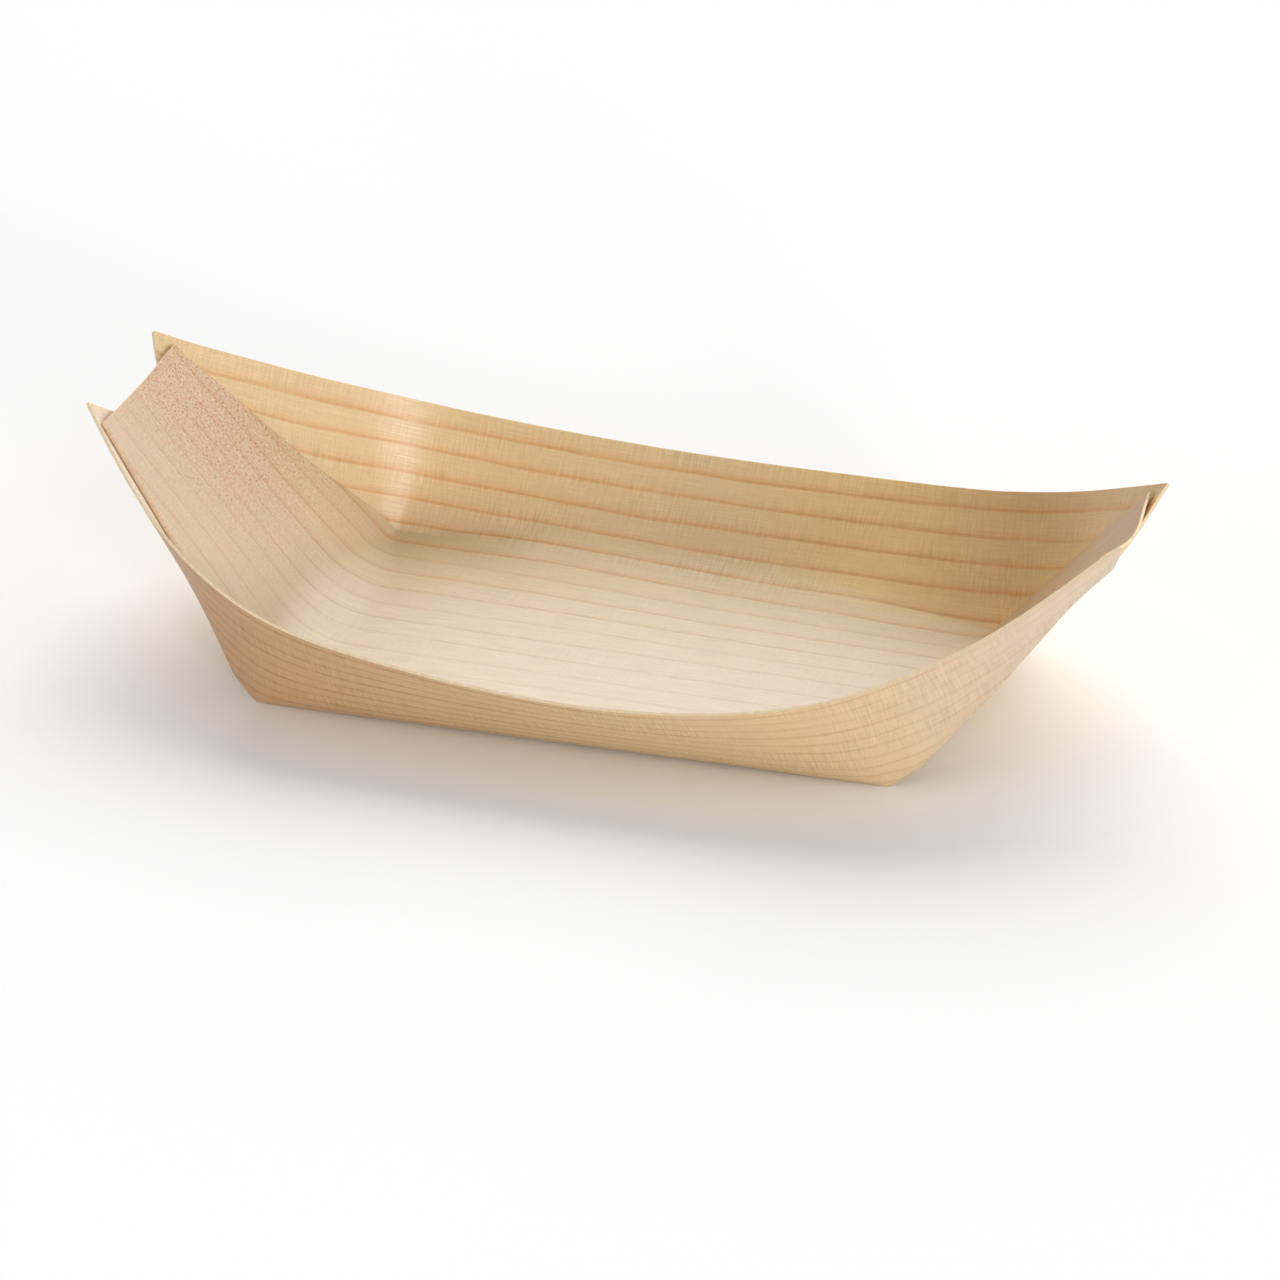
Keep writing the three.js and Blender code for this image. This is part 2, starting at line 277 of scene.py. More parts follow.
# Base, soft bend and end panel of one half, from mid length to the top edge
def onBase(distance, share):
    x = (halfLength - bendReach(share)) * (1 - distance / halfLength)
    y = halfWidth * share
    return Vector((x, y)), Vector((x, y, creaseLift(x, halfWidth - abs(y), y)))


def onBend(turned, share):
    reach = bendReach(share)
    radius = reach / math.tan(slope / 2)
    flat = reach * (2 * turned - 1)
    y = share * panelHalf(flat)
    x = halfLength - reach + radius * math.sin(slope * turned)
    return Vector((halfLength + flat, y)), Vector((x, y, radius * (1 - math.cos(slope * turned))))


def onPanel(distance, share):
    flat = lerp(bendReach(share), endLength, distance / sideReach)
    y = share * panelHalf(flat)
    return Vector((halfLength + flat, y)), upPanel * flat + Vector((halfLength, y, 0))


def settle(point):
    moved = point + Vector((0, 0, sheet["veneer"] / 2))
    for touch in handSet["touches"]:
        gaps = [(point[axis] - touch["at"][axis]) / touch["spread"][axis] for axis in range(3)]
        push = Vector(touch["shift"]) * math.exp(-sum(gap * gap for gap in gaps) / 2)
        push.z *= min(1, max(0, point.z) / handSet["clearOfFloor"])
        moved += push
    return moved * mm


def foldPatch(columns, rows, place):
    deselect()
    bpy.ops.mesh.primitive_grid_add(x_subdivisions=columns, y_subdivisions=rows, size=2)
    patch = bpy.context.object
    blank = patch.data.uv_layers[0]
    blank.name = "blank"  # each point's place on the flat sheet, in metres
    flats = []
    for vertex in patch.data.vertices:
        column = round((vertex.co.x + 1) / 2 * columns)
        row = round((vertex.co.y + 1) / 2 * rows)
        flat, point = place(column, row)
        flats.append(flat * mm)
        vertex.co = settle(point)
    for loop in patch.data.loops:
        blank.data[loop.index].uv = flats[loop.vertex_index]
    return patch


def foldBody(end):
    stations = [(onBase, distance) for distance in reversed(ringDistances(halfLength)[1:])]
    stations += [(onBend, step / sheet["bend"]) for step in range(sheet["bend"] + 1)]
    stations += [(onPanel, distance) for distance in ringDistances(sideReach)[1:]]

    def place(column, row):
        surface, value = stations[column]
        flat, point = surface(value, -math.cos(math.pi * row / sheet["across"]))
        return Vector((end * flat.x, flat.y)), Vector((end * point.x, point.y, point.z))

    return foldPatch(len(stations) - 1, sheet["across"], place)


def foldCorner(end, side):
    rays = cornerRays(side)
    rings = [ringDistances(reach) for _, reach, _ in rays]
    crush = sheet["crushRadius"]

    def place(column, row):
        angle, _, pointAt = rays[column]
        distance = rings[column][row]
        point = pointAt(max(distance, crush)) * min(1, distance / crush)
        flat = Vector((halfLength - distance * math.cos(angle), halfWidth + distance * math.sin(angle)))
        folded = Vector((end * (halfLength + point.x), side * (halfWidth + point.y), point.z))
        return Vector((end * flat.x, side * flat.y)), folded

    return foldPatch(len(rays) - 1, len(rings[0]) - 1, place)


def foldSheet():
    patches = [foldBody(end) for end in (-1, 1)]
    patches += [foldCorner(end, side) for end in (-1, 1) for side in (-1, 1)]
    deselect()
    for patch in patches:
        patch.select_set(True)
    bpy.context.view_layer.objects.active = patches[0]
    bpy.ops.object.join()
    boat = bpy.context.object
    boat.name = boat.data.name = "folded_veneer"
    bpy.ops.object.mode_set(mode="EDIT")
    bpy.ops.mesh.select_all(action="SELECT")
    bpy.ops.mesh.remove_doubles(threshold=sheet["weld"] * mm)
    bpy.ops.mesh.normals_make_consistent(inside=False)
    bpy.ops.object.mode_set(mode="OBJECT")
    for _ in ("one side", "other side", "cut edge"):
        boat.data.materials.append(None)  # filled once the finishes are made
    wall = boat.modifiers.new("thickness", "SOLIDIFY")
    wall.thickness = sheet["veneer"] * mm
    wall.offset = 0
    wall.use_quality_normals = True
    wall.material_offset = 1
    wall.material_offset_rim = 2
    bpy.ops.object.modifier_apply(modifier=wall.name)
    bpy.ops.object.shade_smooth_by_angle(angle=smoothAngle)
    return boat


boat = foldSheet()
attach(boat, "root")
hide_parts("veneer_sheet")
print("sheet folded:", len(boat.data.polygons), "faces")


def linear(code):
    shares = [int(code[place : place + 2], 16) / 255 for place in (1, 3, 5)]
    return [c / 12.92 if c <= 0.04045 else ((c + 0.055) / 1.055) ** 2.4 for c in shares] + [1]


def add(tree, kind, sockets, **settings):
    made = tree.nodes.new("ShaderNode" + kind)
    for name, value in settings.items():
        setattr(made, name, value)
    for socket, value in sockets.items():
        if isinstance(value, bpy.types.NodeSocket):
            tree.links.new(value, made.inputs[socket])
        else:
            made.inputs[socket].default_value = value
    return made


def newMaterial(name):
    material = bpy.data.materials.new(name)
    material.use_nodes = True
    return material, material.node_tree, material.node_tree.nodes["Principled BSDF"]


# Sockets of a Map Range node: which values are mapped, and to which shares
def span(ends, shares=(0, 1)):
    return {1: ends[0], 2: ends[1], 3: shares[0], 4: shares[1]}


# Sliced spruce veneer, cut with the growth lines along the sheet: pale wood, thin orange summer lines
# with a soft side, fine fibres, knife marks across the grain and reddish flecks near the ends. The two
# sides of the sheet differ a little: rosier inside, browner outside. Some patches on both sides are
# painted light and shade. All places and sizes are millimetres on the flat sheet, along and across
# the grain
veneerLook = {
    "baseSpacing": 6.3,  # between growth lines on the base
    "frontSpacing": 3.1,
    "spacingFade": 3,  # past the front crease, lines narrow over this width
    "backSpacing": 6.2,
    "lineShift": 1.4,  # moves all lines towards the back
    "drifts": [{"size": (110, 26), "detail": 1, "most": 4.0}, {"size": (28, 7), "detail": 1, "most": 0.8}],
    "weakestLine": 0.5,
    "backLines": (8, 40),  # lines grow strong between these places
    "frontLines": (-30, -48),
    "coreWidth": (0.16, 0.54),  # distances from the middle of a line
    "rimWidth": (0.2, 0.63),
    "softShare": 0.36,  # share of the spacing that a line's soft side covers
    "softMost": 0.8,
    "detail": 2,  # layers of noise where a pattern gives no number of its own
    "cloudMost": 1.2,
    "rosyFrom": (0.5, 1.7),
    "fibreTone": ((0.25, 0.75), (0.92, 1.05)),
    "fibreSheen": (0.3, 0.7),
    "roughness": 0.4,
    "dull": 0.08,
    "shiny": 0.05,
    "relief": 0.12,
    "reliefStrength": 0.35,
    "silk": 0.7,
    "silkTurn": 0.25,  # the gloss spreads across the fibres
    "gloss": 0.8,
    "glow": 0.25,  # thin wood lets some light through
    "glowDepth": 1.0,
    "glowRadius": (1, 0.5, 0.22),
}
insideLook = {
    "name": "sliced_spruce_veneer_inside",
    "pale": "#e5cb99",
    "rosy": "#dfc8ab",
    "summer": "#d99a45",
    "line": "#a8774a",
    "backLine": "#c07c38",
    "lines": {"base": 0.14, "back": 0.6, "front": 0.2},
    "dark": 0.34,
    "patches": [
        # painted light: the inside of the front wall's left end paler cream, with plainer lines
        {"colour": "#f0dcc2", "along": (-62, -92), "across": (-35, -42), "share": 0.85, "plain": 0.5},
        # painted light: the back wall brighter and yellower from mid length rightwards, where the lamps
        # reach it less
        {"colour": "#ffdf98", "along": (-5, 45), "across": (30, 46), "share": 0.95, "plain": 0},
        # painted shade: darker and yellower at the right end of the back wall and its corner
        {"colour": "#dfc088", "along": (36, 76), "across": (36, 46), "share": 1, "plain": 0},
        # painted shade: the inside of the right end browner and darker
        {"colour": "#c09f78", "along": (64, 84), "across": (40, 34), "share": 0.8, "plain": 0},
    ],
    "specks": [
        {"colour": "#d48050", "size": (1.3, 0.6), "shares": span((0.45, 0.7), (0, 0.42)), "thin": 0.06},
        {"colour": "#aa4c26", "size": (0.62, 0.34), "shares": span((0.53, 0.64), (0, 0.85)), "thin": 0.03},
        {"colour": "#a8713f", "size": (0.35, 1.5), "shares": span((0.58, 0.68), (0, 0.2)), "thin": 0.4},
    ],
}
outsideLook = {
    "name": "sliced_spruce_veneer_outside",
    "pale": "#e6ca9a",
    "rosy": "#e4c89a",
    "summer": "#cf954c",
    "line": "#94642f",
    "backLine": "#a87338",
    "lines": {"base": 0.12, "back": 0.5, "front": 0.4},
    "dark": 0.5,
    "patches": [
        # painted shade: the outside of the front wall browner and darker towards the left, which faces
        # away from the lamps
        {"colour": "#c69466", "along": (20, -90), "across": (-34, -42), "share": 0.8, "plain": 0},
        {"colour": "#e6ca9a", "along": (-15, 55), "across": (-34, -42), "share": 0.6, "plain": 0.9},
        # painted light: the outside of the front wall's right end paler, where it faces the lamps; its
        # lines plainer too
        {"colour": "#d8c2aa", "along": (48, 100), "across": (-34, -42), "share": 0.85, "plain": 0.6},
    ],
    "specks": [
        {"colour": "#a8713f", "size": (0.35, 1.5), "shares": span((0.58, 0.68), (0, 0.2)), "thin": 0.5},
    ],
}

# Noise on the sheet. Fibres and knife marks are drawn coarser than real ones so that they show
patterns = {
    "patchyLine": {"size": (22, 5), "shares": span((0.3, 0.7), (0.6, 1))},
    "brokenLine": {"size": (2.2, 2), "shares": span((0.32, 0.6), (0.4, 1))},
    "cloud": {"size": (60, 14), "detail": 3},
    "fibre": {"size": (10, 0.42)},
    "knife": {"size": (0.5, 7), "shares": span((0.3, 0.7), (-0.13, 0.09))},
    "worn": {"size": (30, 11), "start": (7, 3, 0), "detail": 1, "shares": span((0.35, 0.65), (0.15, 1))},
}

# What changes from place to place
zones = {
    "spacing": span(
        (-halfWidth, -halfWidth - veneerLook["spacingFade"]),
        (veneerLook["baseSpacing"], veneerLook["frontSpacing"]),
    ),
    "rosyFront": span((6, 44), (1.1, 0.1)),
    "rosyLeft": span((60, 100), (1, 0.35)),
    "backTint": span((14, 38)),
    "knifeOnWalls": span((30, 42), (0.3, 1)),
    "flecksNearEnds": span((66, 112)),
    "flecksTowardsBack": span((-20, 10), (0.18, 1)),
    "flecksOnPanels": span((34, 38), (1, 0.12)),
    "flecksOnLeft": span((-60, 60), (1, 0.3)),
}
soft = {"interpolation_type": "SMOOTHSTEP"}
mixed = {"data_type": "RGBA"}


def readSheet(tree):
    flat = add(tree, "UVMap", {}, uv_map="blank").outputs[0]
    spot = add(tree, "VectorMath", {0: flat, "Scale": 1 / mm}, operation="SCALE").outputs[0]
    split = add(tree, "SeparateXYZ", {0: spot})
    return {
        "spot": spot,
        "along": split.outputs[0],
        "across": split.outputs[1],
        "fromMiddle": add(tree, "Math", {0: split.outputs[0]}, operation="ABSOLUTE").outputs[0],
        "fromCentre": add(tree, "Math", {0: split.outputs[1]}, operation="ABSOLUTE").outputs[0],
    }


def sheetNoise(tree, at, pattern):
    along, across = pattern["size"]
    start = pattern.get("start", (0, 0, 0))
    placing = {"Vector": at["spot"], "Location": start, "Scale": (1 / along, 1 / across, 1)}
    place = add(tree, "Mapping", placing).outputs[0]
    detail = pattern.get("detail", veneerLook["detail"])
    return add(tree, "TexNoise", {"Vector": place, "Scale": 1, "Detail": detail}).outputs[0]


def sheetShare(tree, at, pattern):
    return add(tree, "MapRange", {0: sheetNoise(tree, at, pattern), **pattern["shares"]}).outputs[0]


# Growth lines are counted across the sheet. They lie closest on the front wall and drift along the sheet
def countLines(tree, at):
    drifted = add(tree, "Math", {0: at["across"], 1: -veneerLook["lineShift"]}).outputs[0]
    for drift in veneerLook["drifts"]:
        bothWays = {0: sheetNoise(tree, at, drift), 1: drift["most"], 2: -drift["most"] / 2}
        moved = add(tree, "Math", bothWays, operation="MULTIPLY_ADD").outputs[0]
        drifted = add(tree, "Math", {0: drifted, 1: moved}).outputs[0]
    perBase = 1 / veneerLook["baseSpacing"]
    count = add(tree, "Math", {0: drifted, 1: perBase}, operation="MULTIPLY").outputs[0]
    for spacing, side in ((veneerLook["frontSpacing"], -1), (veneerLook["backSpacing"], 1)):
        pastCrease = {0: drifted, 1: side, 2: -halfWidth}
        onWall = add(tree, "Math", pastCrease, operation="MULTIPLY_ADD").outputs[0]
        onWall = add(tree, "Math", {0: onWall, 1: 0}, operation="MAXIMUM").outputs[0]
        closer = {0: onWall, 1: side * (1 / spacing - perBase), 2: count}
        count = add(tree, "Math", closer, operation="MULTIPLY_ADD").outputs[0]
    return count


# A line has a dark core and a soft side. Lines are strong on the back wall, plainer on the front wall
# and faint on the base and the ends
def drawLines(tree, look, at):
    count = countLines(tree, at)
    nearest = add(tree, "Math", {0: count}, operation="ROUND").outputs[0]
    own = add(tree, "TexWhiteNoise", {"W": nearest}, noise_dimensions="1D").outputs[0]
    own = add(tree, "MapRange", {0: own, **span((0, 1), (veneerLook["weakestLine"], 1))}).outputs[0]
    patchy = sheetShare(tree, at, patterns["patchyLine"])
    own = add(tree, "Math", {0: own, 1: patchy}, operation="MULTIPLY").outputs[0]

    lines = look["lines"]
    toBack = {0: at["across"], **span(veneerLook["backLines"], (lines["base"], lines["back"]))}
    toFront = {0: at["across"], **span(veneerLook["frontLines"], (lines["base"], lines["front"]))}
    backWall = add(tree, "MapRange", toBack, **soft).outputs[0]
    frontWall = add(tree, "MapRange", toFront, **soft).outputs[0]
    strength = add(tree, "Math", {0: backWall, 1: frontWall}, operation="MAXIMUM").outputs[0]
    strength = add(tree, "Math", {0: strength, 1: own}, operation="MULTIPLY").outputs[0]

    toLine = add(tree, "Math", {0: count, 1: 0.5}, operation="PINGPONG").outputs[0]
    spacing = add(tree, "MapRange", {0: at["across"], **zones["spacing"]}).outputs[0]
    toLine = add(tree, "Math", {0: toLine, 1: spacing}, operation="MULTIPLY").outputs[0]
    grown = add(tree, "Math", {0: count}, operation="FRACT").outputs[0]
    afterLine = {0: grown, **span((veneerLook["softShare"], 0), (0, veneerLook["softMost"]))}
    softSide = add(tree, "MapRange", afterLine, **soft).outputs[0]
    rim = add(tree, "MapRange", {0: toLine, **span(veneerLook["rimWidth"], (1, 0))}, **soft).outputs[0]
    softSide = add(tree, "Math", {0: softSide, 1: rim}, operation="MAXIMUM").outputs[0]
    softSide = add(tree, "Math", {0: softSide, 1: strength}, operation="MULTIPLY").outputs[0]
    inLine = {0: toLine, **span(veneerLook["coreWidth"], (look["dark"], 0))}
    core = add(tree, "MapRange", inLine, **soft).outputs[0]
    for share in (sheetShare(tree, at, patterns["brokenLine"]), own):
        core = add(tree, "Math", {0: core, 1: share}, operation="MULTIPLY").outputs[0]
    return softSide, core


# The ground is yellower towards the back wall and the right end, rosier elsewhere, in drifting clouds
def tintGround(tree, look, at):
    cloud = sheetNoise(tree, at, patterns["cloud"])
    rosy = add(tree, "MapRange", {0: at["across"], **zones["rosyFront"]}, clamp=False).outputs[0]
    clouded = {0: cloud, 1: veneerLook["cloudMost"], 2: rosy}
    rosy = add(tree, "Math", clouded, operation="MULTIPLY_ADD").outputs[0]
    rosy = add(tree, "MapRange", {0: rosy, **span(veneerLook["rosyFrom"])}).outputs[0]
    leftWards = add(tree, "MapRange", {0: at["along"], **zones["rosyLeft"]}, **soft).outputs[0]
    rosy = add(tree, "Math", {0: rosy, 1: leftWards}, operation="MULTIPLY").outputs[0]
    grounds = {0: rosy, 6: linear(look["pale"]), 7: linear(look["rosy"])}
    return add(tree, "Mix", grounds, **mixed).outputs[2]


# Ground, then single patches, some of them painted light and shade, which can make the lines on them
# plainer, then the lines
def tintWood(tree, look, at):
    softSide, core = drawLines(tree, look, at)
    colour = tintGround(tree, look, at)
    for patch in look["patches"]:
        share = patch["share"]
        for place in ("along", "across"):
            fading = {0: at[place], **span(patch[place], (0, share))}
            share = add(tree, "MapRange", fading, **soft).outputs[0]
        colour = add(tree, "Mix", {0: share, 6: colour, 7: linear(patch["colour"])}, **mixed).outputs[2]
        kept = add(tree, "Math", {0: share, 1: -patch["plain"], 2: 1}, operation="MULTIPLY_ADD").outputs[0]
        softSide = add(tree, "Math", {0: softSide, 1: kept}, operation="MULTIPLY").outputs[0]
        core = add(tree, "Math", {0: core, 1: kept}, operation="MULTIPLY").outputs[0]
    colour = add(tree, "Mix", {0: softSide, 6: colour, 7: linear(look["summer"])}, **mixed).outputs[2]
    backTint = add(tree, "MapRange", {0: at["across"], **zones["backTint"]}).outputs[0]
    lineTints = {0: backTint, 6: linear(look["line"]), 7: linear(look["backLine"])}
    lineTint = add(tree, "Mix", lineTints, **mixed).outputs[2]
    return add(tree, "Mix", {0: core, 6: colour, 7: lineTint}, **mixed).outputs[2]


# Knife marks show most on the walls, and more in worn places
def markKnife(tree, at):
    knife = sheetShare(tree, at, patterns["knife"])
    worn = sheetShare(tree, at, patterns["worn"])
    onWalls = add(tree, "MapRange", {0: at["fromCentre"], **zones["knifeOnWalls"]}).outputs[0]
    worn = add(tree, "Math", {0: worn, 1: onWalls}, operation="MULTIPLY").outputs[0]
    return add(tree, "Math", {0: knife, 1: worn, 2: 1}, operation="MULTIPLY_ADD").outputs[0]


# Mottling, flecks and short knife checks, thick near the top of the left end and thin elsewhere
def addSpecks(tree, look, at, colour):
    thick = add(tree, "MapRange", {0: at["fromMiddle"], **zones["flecksNearEnds"]}, **soft).outputs[0]
    towardsBack = add(tree, "MapRange", {0: at["across"], **zones["flecksTowardsBack"]}, **soft).outputs[0]
    onPanels = add(tree, "MapRange", {0: at["fromCentre"], **zones["flecksOnPanels"]}).outputs[0]
    onLeft = add(tree, "MapRange", {0: at["along"], **zones["flecksOnLeft"]}).outputs[0]
    for share in (towardsBack, onPanels, onLeft):
        thick = add(tree, "Math", {0: thick, 1: share}, operation="MULTIPLY").outputs[0]
    for speck in look["specks"]:
        grain = sheetShare(tree, at, speck)
        share = add(tree, "Math", {0: thick, 1: speck["thin"]}).outputs[0]
        share = add(tree, "Math", {0: grain, 1: share}, operation="MULTIPLY").outputs[0]
        colour = add(tree, "Mix", {0: share, 6: colour, 7: linear(speck["colour"])}, **mixed).outputs[2]
    return colour


def sliceVeneer(look):
    finish, tree, shader = newMaterial(look["name"])
    at = readSheet(tree)
    fibre = sheetNoise(tree, at, patterns["fibre"])
    fibreTone = add(tree, "MapRange", {0: fibre, **span(*veneerLook["fibreTone"])}).outputs[0]
    knifeTone = markKnife(tree, at)
    tone = add(tree, "Math", {0: fibreTone, 1: knifeTone}, operation="MULTIPLY").outputs[0]
    colour = tintWood(tree, look, at)
    colour = add(tree, "Mix", {0: 1, 6: colour, 7: tone}, blend_type="MULTIPLY", **mixed).outputs[2]
    colour = addSpecks(tree, look, at, colour)
    relief = add(tree, "Math", {0: fibre, 1: knifeTone}, operation="MULTIPLY").outputs[0]
    depth = veneerLook["relief"] * mm
    ridges = {"Height": relief, "Strength": veneerLook["reliefStrength"], "Distance": depth}
    bump = add(tree, "Bump", ridges)
    dull = veneerLook["roughness"] + veneerLook["dull"]
    shiny = veneerLook["roughness"] - veneerLook["shiny"]
    sheen = add(tree, "MapRange", {0: fibre, **span(veneerLook["fibreSheen"], (dull, shiny))})
    grainWay = add(tree, "Tangent", {}, direction_type="UV_MAP", uv_map="blank")
    tree.links.new(colour, shader.inputs["Base Color"])
    tree.links.new(sheen.outputs[0], shader.inputs["Roughness"])
    tree.links.new(bump.outputs[0], shader.inputs["Normal"])
    tree.links.new(grainWay.outputs[0], shader.inputs["Tangent"])
    shader.inputs["Anisotropic"].default_value = veneerLook["silk"]
    shader.inputs["Anisotropic Rotation"].default_value = veneerLook["silkTurn"]
    shader.inputs["Specular IOR Level"].default_value = veneerLook["gloss"]
    shader.inputs["Subsurface Weight"].default_value = veneerLook["glow"]
    shader.inputs["Subsurface Radius"].default_value = veneerLook["glowRadius"]
    shader.inputs["Subsurface Scale"].default_value = veneerLook["glowDepth"] * mm
    return finish


# Cut edge of the veneer: paler and drier than the faces, with short dark breaks where the knife tore
edgeLook = {
    "pale": "#f1dcb8",
    "torn": "#d6b083",
    "breakSize": 0.9,
    "breakDetail": 3,
    "breaks": span((0.4, 0.8), (0, 0.45)),
    "relief": 0.05,
    "reliefStrength": 0.25,
    "roughness": 0.75,
}


def cutEdge():
    finish, tree, shader = newMaterial("knife_cut_veneer_edge")
    spot = add(tree, "TexCoord", {}).outputs["Object"]
    scale = 1 / (edgeLook["breakSize"] * mm)
    place = add(tree, "Mapping", {"Vector": spot, "Scale": (scale, scale, scale)}).outputs[0]
    noises = {"Vector": place, "Scale": 1, "Detail": edgeLook["breakDetail"]}
    noise = add(tree, "TexNoise", noises).outputs[0]
    torn = add(tree, "MapRange", {0: noise, **edgeLook["breaks"]}).outputs[0]
    tints = {0: torn, 6: linear(edgeLook["pale"]), 7: linear(edgeLook["torn"])}
    colour = add(tree, "Mix", tints, **mixed).outputs[2]
    depth = edgeLook["relief"] * mm
    bump = add(tree, "Bump", {"Height": torn, "Strength": edgeLook["reliefStrength"], "Distance": depth})
    tree.links.new(colour, shader.inputs["Base Color"])
    tree.links.new(bump.outputs[0], shader.inputs["Normal"])
    shader.inputs["Roughness"].default_value = edgeLook["roughness"]
    return finish


# The face that looks up in the middle of the base is inside the boat
middleFaces = [face for face in boat.data.polygons if face.center.length < sheet["middleReach"] * mm]
insideSlot = next(face.material_index for face in middleFaces if face.normal.z > 0)
boat.data.materials[insideSlot] = sliceVeneer(insideLook)
boat.data.materials[1 - insideSlot] = sliceVeneer(outsideLook)
boat.data.materials[2] = cutEdge()
print("veneer finished, inside in slot", insideSlot)

# Glue: a thin dab between the layers of each corner, following the fold. Dried wood glue, spread with a
# spatula, is translucent cream, satin and slightly streaky
glue = {
    "thickness": 0.08,
    "margin": 0.14,  # share of the pleat left dry on each side
    "from": 17,  # distance from the base corner
    "dryTop": 5,  # left dry below the top edge
    "roundness": 6,  # how far the sides of a dab are pulled in at both ends
    "across": 8,
    "along": 20,
    "colour": "#efe2c4",
    "thin": "#dcc79b",
    "streakSize": (3, 3, 9),
    "streakDetail": 3,
    "streaks": span((0.35, 0.65)),
    "relief": 0.05,
    "reliefStrength": 0.3,
    "roughness": 0.38,
    "refraction": 1.48,
}


def driedGlue():
    finish, tree, shader = newMaterial("dried_wood_glue")
    spot = add(tree, "TexCoord", {}).outputs["Object"]
    scale = [1 / (size * mm) for size in glue["streakSize"]]
    place = add(tree, "Mapping", {"Vector": spot, "Scale": scale}).outputs[0]
    streaky = {"Vector": place, "Scale": 1, "Detail": glue["streakDetail"]}
    streak = add(tree, "TexNoise", streaky).outputs[0]
    thin = add(tree, "MapRange", {0: streak, **glue["streaks"]}).outputs[0]
    tints = {0: thin, 6: linear(glue["colour"]), 7: linear(glue["thin"])}
    colour = add(tree, "Mix", tints, **mixed).outputs[2]
    depth = glue["relief"] * mm
    bump = add(tree, "Bump", {"Height": streak, "Strength": glue["reliefStrength"], "Distance": depth})
    tree.links.new(colour, shader.inputs["Base Color"])
    tree.links.new(bump.outputs[0], shader.inputs["Normal"])
    shader.inputs["Roughness"].default_value = glue["roughness"]
    shader.inputs["IOR"].default_value = glue["refraction"]
    return finish


def spreadGlue(name, depth, end, side, finish):
    def place(column, row):
        sideways = column / glue["across"]
        angle = pleatSweep * lerp(glue["margin"], 1 - glue["margin"], sideways)
        pulledIn = glue["roundness"] * (2 * sideways - 1) ** 4
        top = endLength / math.cos(angle + endSweep - math.pi / 2) - glue["dryTop"] - pulledIn
        distance = lerp(glue["from"] + pulledIn, top, row / glue["along"])
        point = alongPleat(angle) * distance + panelBack * depth
        folded = Vector((end * (halfLength + point.x), side * (halfWidth + point.y), point.z))
        return Vector((distance, angle)), folded

    dab = foldPatch(glue["across"], glue["along"], place)
    dab.name = dab.data.name = name
    film = dab.modifiers.new("thickness", "SOLIDIFY")
    film.thickness = glue["thickness"] * mm
    film.offset = 0
    bpy.ops.object.modifier_apply(modifier=film.name)
    bpy.ops.object.mode_set(mode="EDIT")
    bpy.ops.mesh.select_all(action="SELECT")
    bpy.ops.mesh.normals_make_consistent(inside=False)
    bpy.ops.object.mode_set(mode="OBJECT")
    bpy.ops.object.shade_smooth_by_angle(angle=smoothAngle)
    dab.data.materials.clear()
    dab.data.materials.append(finish)
    return dab


dried = driedGlue()
for endName, end in (("left", -1), ("right", 1)):
    for sideName, side in (("front", -1), ("back", 1)):
        for layer, depth in (("panel", innerFold), ("pleat", outerFold)):
            corner = endName + "_" + sideName
            dab = spreadGlue("dried_" + layer + "_dab_" + corner, depth, end, side, dried)
            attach(dab, "root")
            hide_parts(layer + "_glue_" + corner)
print("glue spread in four corners")

# Floor and light: a white floor, broad lamps behind and at the sides, a small one in front, even fill
stage = {
    "floorSize": 30,
    "floorColour": "#ffffff",
    "bounceColour": "#f0f0f0",  # what the floor throws back on the boat
    "floorRoughness": 0.8,
    "worldStrength": 0.43,
    "lamps": [
        {"name": "back_lamp", "from": (-0.15, 0.83, 0.53), "strength": 2.6, "width": math.radians(60)},
        {"name": "right_lamp", "from": (0.93, -0.1, 0.25), "strength": 0.65, "width": math.radians(45)},
        {"name": "front_lamp", "from": (0.62, -0.77, 0.16), "strength": 1.1, "width": math.radians(12)},
        {"name": "left_lamp", "from": (-0.65, -0.72, 0.25), "strength": 0.22, "width": math.radians(40)},
    ],
}

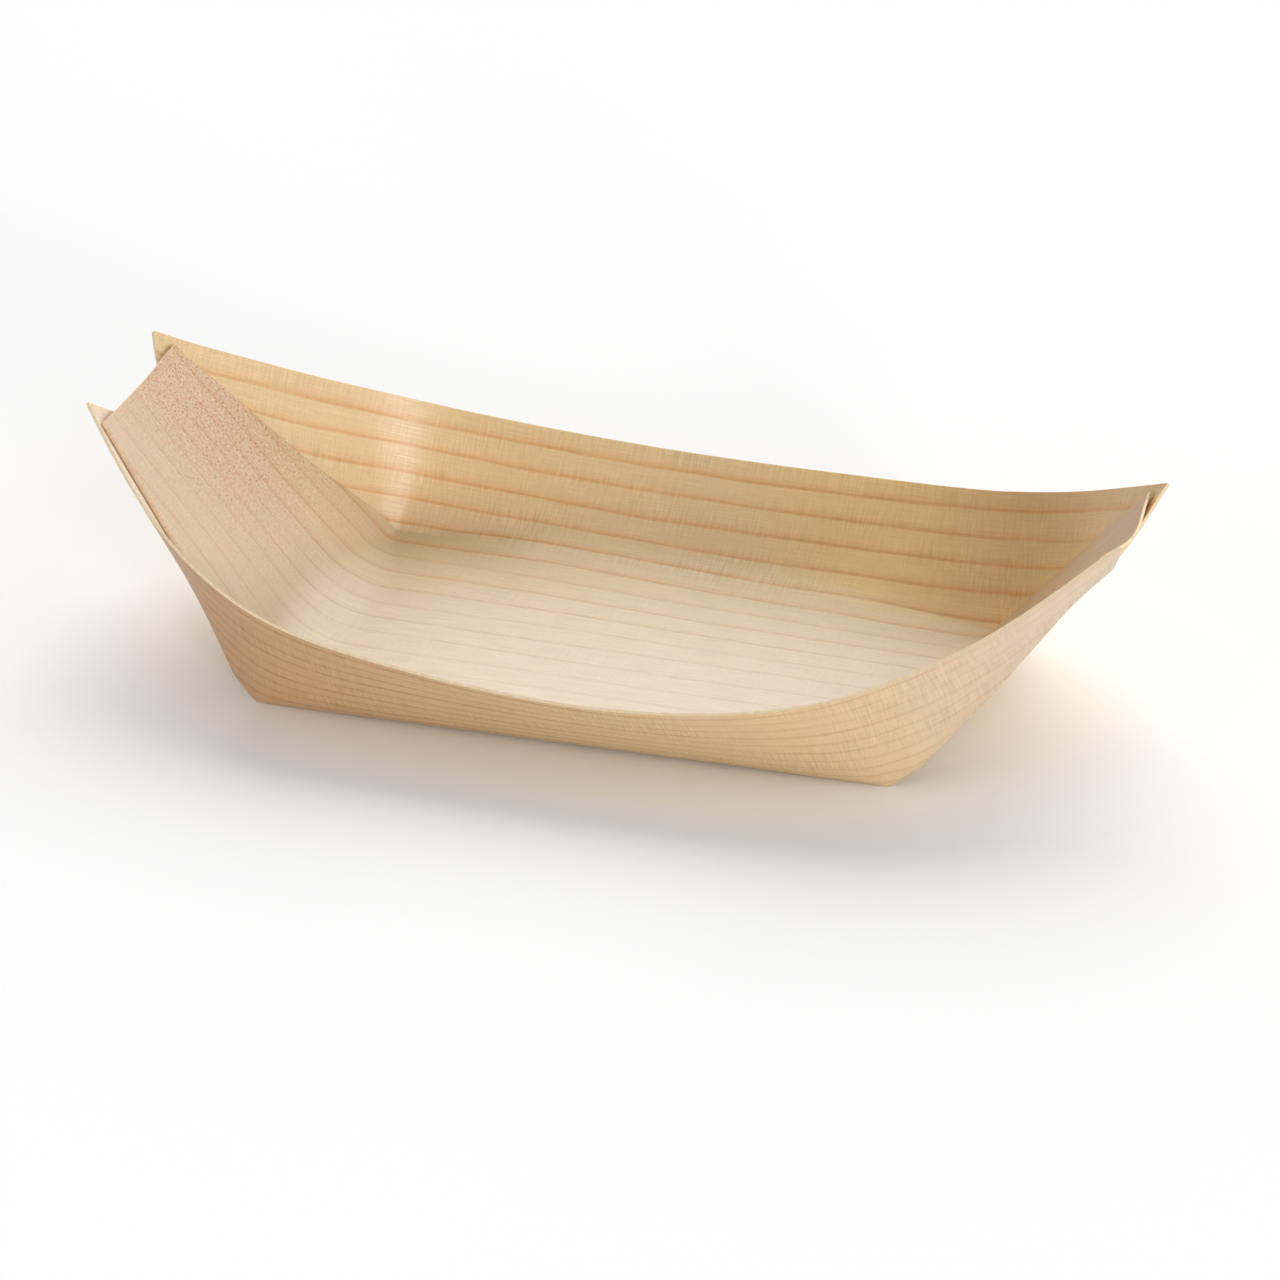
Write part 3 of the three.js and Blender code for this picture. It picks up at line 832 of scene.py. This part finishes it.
deselect()
bpy.ops.mesh.primitive_plane_add(size=stage["floorSize"])
floor = bpy.context.object
floor.name = "floor"
floorFinish, tree, shader = newMaterial("white_paper_floor")
rays = add(tree, "LightPath", {})
seen = rays.outputs["Is Camera Ray"]
for kind in ("Is Glossy Ray", "Is Transmission Ray"):
    seen = add(tree, "Math", {0: seen, 1: rays.outputs[kind]}, operation="MAXIMUM").outputs[0]
tints = {0: seen, 6: linear(stage["bounceColour"]), 7: linear(stage["floorColour"])}
colour = add(tree, "Mix", tints, **mixed).outputs[2]
tree.links.new(colour, shader.inputs["Base Color"])
shader.inputs["Roughness"].default_value = stage["floorRoughness"]
shader.inputs["Specular IOR Level"].default_value = 0
floor.data.materials.append(floorFinish)

world = bpy.data.worlds.new("studio")
bpy.context.scene.world = world
world.use_nodes = True
world.node_tree.nodes["Background"].inputs["Color"].default_value = (1, 1, 1, 1)
world.node_tree.nodes["Background"].inputs["Strength"].default_value = stage["worldStrength"]
for lamp in stage["lamps"]:
    bpy.ops.object.light_add(type="SUN")
    sun = bpy.context.object
    sun.name = lamp["name"]
    sun.rotation_euler = Vector(lamp["from"]).to_track_quat("Z", "Y").to_euler()
    sun.data.energy = lamp["strength"]
    sun.data.angle = lamp["width"]
print("floor and lamps set")

camera = {
    "turn": math.radians(19.97),
    "height": math.radians(25.22),
    "roll": math.radians(-0.38),
    "distance": 1859.8,
    "aside": -2.52,
    "lift": -4.08,
    "focalPixels": 9000,
    "framePixels": 1280,
    "sensor": 36,
    "clipEnd": 100,  # metres
}
back = Vector(
    (
        math.sin(camera["turn"]) * math.cos(camera["height"]),
        -math.cos(camera["turn"]) * math.cos(camera["height"]),
        math.sin(camera["height"]),
    )
)
level = Vector((0, 0, 1)).cross(back).normalized()
upright = back.cross(level)
right = level * math.cos(camera["roll"]) + upright * math.sin(camera["roll"])
up = upright * math.cos(camera["roll"]) - level * math.sin(camera["roll"])
place = (back * camera["distance"] - right * camera["aside"] - up * camera["lift"]) * mm
bpy.ops.object.camera_add()
lens = bpy.context.object
lens.data.sensor_width = camera["sensor"]
lens.data.lens = camera["sensor"] * camera["focalPixels"] / camera["framePixels"]
lens.data.clip_end = camera["clipEnd"]
lens.matrix_world = Matrix.Translation(place) @ Matrix((right, up, back)).transposed().to_4x4()
bpy.context.scene.camera = lens
print("camera set")
